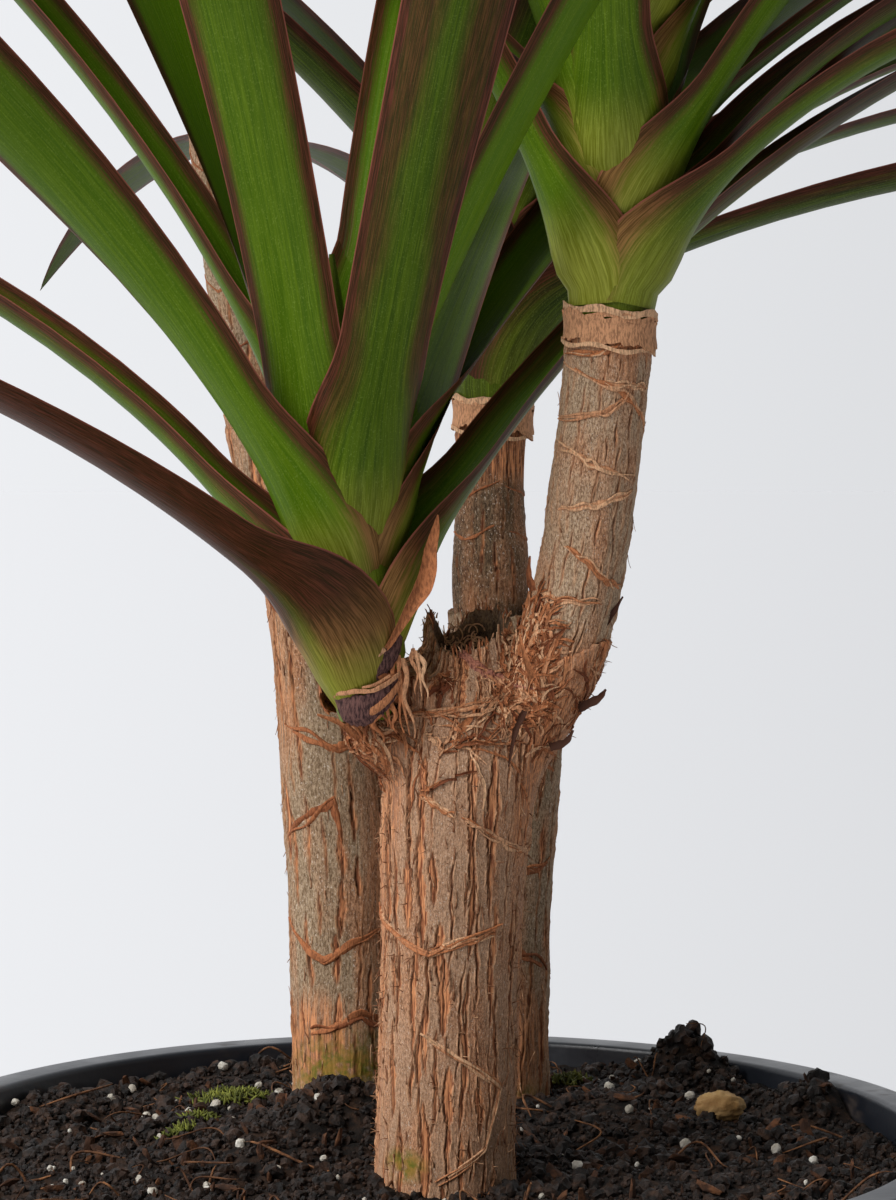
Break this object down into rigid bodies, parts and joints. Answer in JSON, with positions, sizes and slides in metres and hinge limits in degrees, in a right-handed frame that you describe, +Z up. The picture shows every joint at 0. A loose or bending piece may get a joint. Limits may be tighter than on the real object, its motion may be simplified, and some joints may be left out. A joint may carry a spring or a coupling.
{
  "type": "potted madagascar dragon tree",
  "caption": "Indoor plant in a round tapered nursery pot: bare ringed canes that fork low down and end in dense heads of long arching strap leaves.",
  "frame": {"origin": "centre of the pot's flat underside, on the surface it stands on", "axes": "+Z up along the pot's axis, +X to the right of the forked front cane as it is seen from the front, +Y to the back"},
  "size_m": [0.7882, 0.7181, 0.8558],
  "materials": {
    "pot_plastic": "satin moulded plastic",
    "peat": "rough",
    "bark": "rough",
    "leaf_green": "satin"
  },
  "bodies": {
    "root": {"pot": "pot_plastic", "peat": "peat", "front_cane": "bark", "rear_left_cane": "bark", "rear_right_cane": "bark", "front_right_branch": "bark", "rear_left_branch": "bark", "rear_right_branch": "bark", "front_left_head": "leaf_green", "front_right_head": "leaf_green", "rear_left_head": "leaf_green", "rear_right_head": "leaf_green"}
  },
  "joints": []
}
